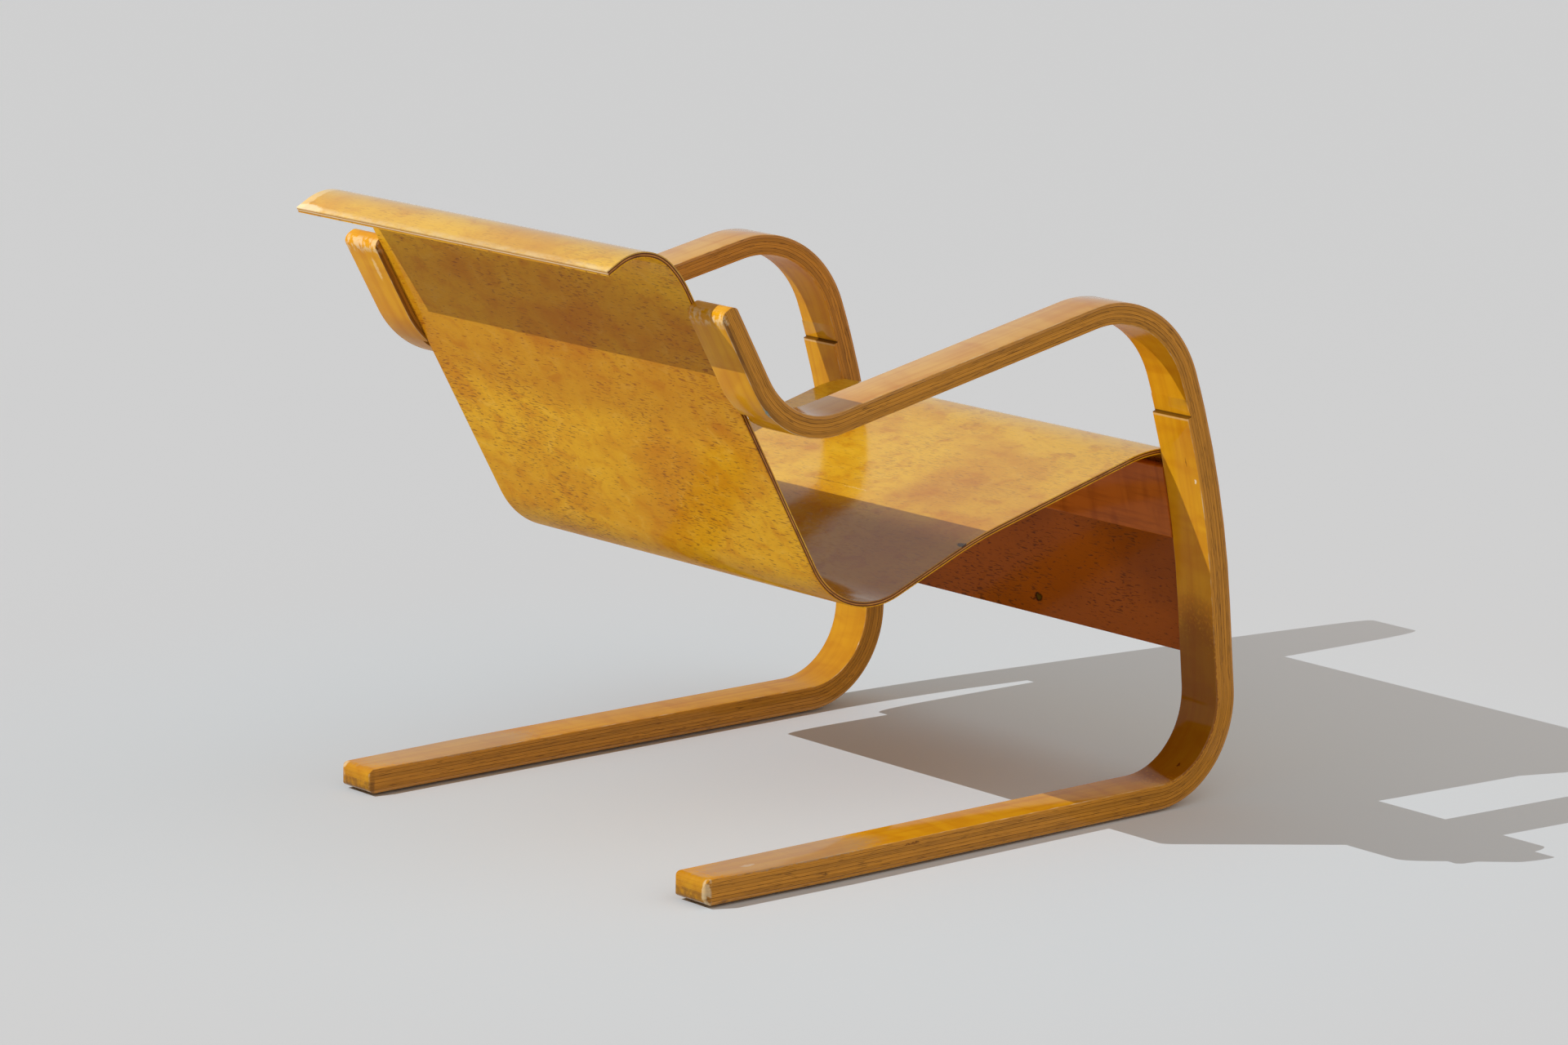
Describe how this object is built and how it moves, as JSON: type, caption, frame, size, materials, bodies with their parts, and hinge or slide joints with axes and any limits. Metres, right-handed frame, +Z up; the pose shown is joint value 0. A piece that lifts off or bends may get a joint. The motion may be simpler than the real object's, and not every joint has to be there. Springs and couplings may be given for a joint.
{
  "type": "cantilever lounge chair",
  "caption": "Cantilever lounge chair with bent laminated birch side frames and a moulded plywood seat shell slung between them.",
  "frame": {"origin": "on the floor, at the middle of the chair's outline seen from above", "axes": "+Z up; the sitter faces -Y; X runs across the chair, with the sitter's right at -X"},
  "size_m": [0.6, 0.8008, 0.6399],
  "materials": {
    "birch_lamination": "clear amber varnish over bent birch laminations",
    "curly_birch_veneer": "clear amber varnish over curly birch face veneer",
    "birch_cross_ply": "varnished edge of dark cross ply",
    "birch_core_ply": "varnished edge of light core ply",
    "birch_rail": "red-brown varnish on solid birch",
    "birch_dowel": "bare turned birch",
    "brass_screw": "plain brass",
    "steel_glide": "worn steel"
  },
  "bodies": {
    "root": {"right_frame_lamination_1": "birch_lamination", "right_frame_lamination_2": "birch_lamination", "right_frame_lamination_3": "birch_lamination", "right_frame_lamination_4": "birch_lamination", "right_frame_lamination_5": "birch_lamination", "right_frame_lamination_6": "birch_lamination", "right_frame_inner_lamination": "birch_lamination", "left_frame_lamination_1": "birch_lamination", "left_frame_lamination_2": "birch_lamination", "left_frame_lamination_3": "birch_lamination", "left_frame_lamination_4": "birch_lamination", "left_frame_lamination_5": "birch_lamination", "left_frame_lamination_6": "birch_lamination", "left_frame_inner_lamination": "birch_lamination", "seat_shell_outer_veneer": "curly_birch_veneer", "seat_shell_outer_cross_ply": "birch_cross_ply", "seat_shell_core_ply": "birch_core_ply", "seat_shell_inner_cross_ply": "birch_cross_ply", "seat_shell_inner_veneer": "curly_birch_veneer", "cross_rail": "birch_rail", "rail_dowels": "birch_dowel", "apron_screws": "brass_screw", "foot_glides": "steel_glide"}
  },
  "joints": []
}
